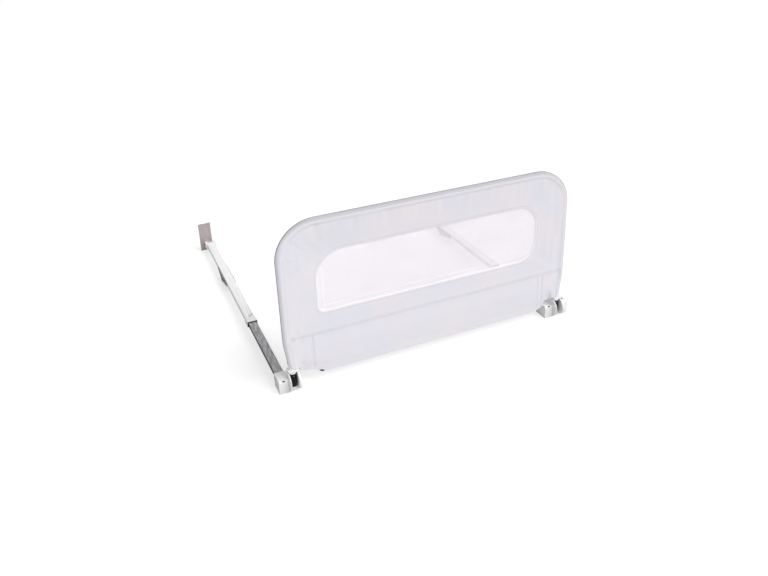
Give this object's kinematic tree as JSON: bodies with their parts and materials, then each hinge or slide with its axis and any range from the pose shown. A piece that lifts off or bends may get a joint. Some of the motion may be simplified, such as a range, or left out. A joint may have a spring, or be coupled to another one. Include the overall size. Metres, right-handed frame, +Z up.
{
  "type": "folding bed guard rail",
  "caption": "Fabric covered bed guard on folding hinges, with telescopic under-mattress arms that end in upright anchor plates.",
  "frame": {"origin": "bottom centre of the box round the whole part, at the level the hinge brackets stand on", "axes": "+X along the guard to the right as seen from outside the bed, +Y from the guard along the arms to the anchor plates, +Z up"},
  "size_m": [1.1132, 1.196, 0.574],
  "materials": {
    "white_plastic": "satin white moulded plastic",
    "white_steel": "white powder coat",
    "black_plastic": "satin black moulded plastic",
    "dark_steel": "dark grey coated steel",
    "pin_steel": "dull steel",
    "bare_steel": "bare sheet steel",
    "grey_plastic": "grey moulded plastic",
    "cover_fabric": "plain woven light grey fabric",
    "net_fabric": "fine white net"
  },
  "bodies": {
    "base": {"left_hinge_bracket": "white_plastic", "left_pivot_pin": "pin_steel", "left_inner_tube": "dark_steel", "left_socket_rivet": "pin_steel", "left_lock_spring": "pin_steel", "right_hinge_bracket": "white_plastic", "right_pivot_pin": "pin_steel", "right_inner_tube": "dark_steel", "right_socket_rivet": "pin_steel", "right_lock_spring": "pin_steel", "lock_housing": "white_plastic", "housing_screw": "pin_steel"},
    "guard": {"left_upright": "white_steel", "right_upright": "white_steel", "top_rail": "white_steel", "cross_bar": "white_steel", "left_cross_bar_screw": "pin_steel", "right_cross_bar_screw": "pin_steel", "fabric_cover": "cover_fabric", "window_net": "net_fabric", "hem_pull": "black_plastic", "left_knuckle": "black_plastic", "left_knuckle_cap": "white_plastic", "left_tube_collar": "white_plastic", "left_tube_rivet": "pin_steel", "right_knuckle": "black_plastic", "right_knuckle_cap": "white_plastic", "right_tube_collar": "white_plastic", "right_tube_rivet": "pin_steel"},
    "release": {"release_button": "black_plastic"},
    "left_lock": {"left_lock_slider": "black_plastic"},
    "left_arm": {"left_outer_tube": "white_steel", "left_arm_collar": "white_plastic", "left_fold_bracket": "dark_steel", "left_bracket_rivet": "pin_steel", "left_fold_pin": "pin_steel"},
    "left_size": {"left_size_button": "grey_plastic"},
    "left_far_arm": {"left_far_tube": "white_steel", "left_fold_lug": "black_plastic", "left_lug_rivet": "pin_steel", "left_end_knuckle": "white_plastic", "left_anchor_pin": "pin_steel"},
    "left_anchor": {"left_anchor_plate": "bare_steel"},
    "right_lock": {"right_lock_slider": "black_plastic"},
    "right_arm": {"right_outer_tube": "white_steel", "right_arm_collar": "white_plastic", "right_fold_bracket": "dark_steel", "right_bracket_rivet": "pin_steel", "right_fold_pin": "pin_steel"},
    "right_size": {"right_size_button": "grey_plastic"},
    "right_far_arm": {"right_far_tube": "white_steel", "right_fold_lug": "black_plastic", "right_lug_rivet": "pin_steel", "right_end_knuckle": "white_plastic", "right_anchor_pin": "pin_steel"},
    "right_anchor": {"right_anchor_plate": "bare_steel"}
  },
  "joints": [
    {"name": "guard_fold", "type": "hinge", "parent": "base", "child": "guard", "pos_m": [0.01345, -0.5645, 0.034], "axis": [1, 0, 0], "range_deg": [0, 175]},
    {"name": "release_press", "type": "slide", "parent": "base", "child": "release", "axis": [0, 0, -1], "range_m": [0, 0.003], "stiffness_N_per_m": 300, "springref_m": -0.002},
    {"name": "left_lock_slide", "type": "slide", "parent": "base", "child": "left_lock", "axis": [-1, 0, 0], "range_m": [0, 0.004], "stiffness_N_per_m": 300, "springref_m": -0.002, "deforming": ["left_lock_spring"]},
    {"name": "left_arm_slide", "type": "slide", "parent": "base", "child": "left_arm", "axis": [0, 1, 0], "range_m": [-0.25, 0.075]},
    {"name": "left_size_press", "type": "slide", "parent": "left_arm", "child": "left_size", "axis": [0, 0, -1], "range_m": [0, 0.0015], "stiffness_N_per_m": 300, "springref_m": -0.002},
    {"name": "left_arm_fold", "type": "hinge", "parent": "left_arm", "child": "left_far_arm", "pos_m": [-0.51755, 0.2555, 0.018], "axis": [-1, 0, 0], "range_deg": [0, 175]},
    {"name": "left_anchor_fold", "type": "hinge", "parent": "left_far_arm", "child": "left_anchor", "pos_m": [-0.51755, 0.5765, 0.035], "axis": [1, 0, 0], "range_deg": [0, 90]},
    {"name": "right_lock_slide", "type": "slide", "parent": "base", "child": "right_lock", "axis": [-1, 0, 0], "range_m": [0, 0.004], "stiffness_N_per_m": 300, "springref_m": -0.002, "deforming": ["right_lock_spring"]},
    {"name": "right_arm_slide", "type": "slide", "parent": "base", "child": "right_arm", "axis": [0, 1, 0], "range_m": [-0.22, 0.105]},
    {"name": "right_size_press", "type": "slide", "parent": "right_arm", "child": "right_size", "axis": [0, 0, -1], "range_m": [0, 0.0015], "stiffness_N_per_m": 300, "springref_m": -0.002},
    {"name": "right_arm_fold", "type": "hinge", "parent": "right_arm", "child": "right_far_arm", "pos_m": [0.48045, 0.2255, 0.018], "axis": [-1, 0, 0], "range_deg": [0, 175]},
    {"name": "right_anchor_fold", "type": "hinge", "parent": "right_far_arm", "child": "right_anchor", "pos_m": [0.48045, 0.5465, 0.035], "axis": [1, 0, 0], "range_deg": [-90, 0]}
  ]
}
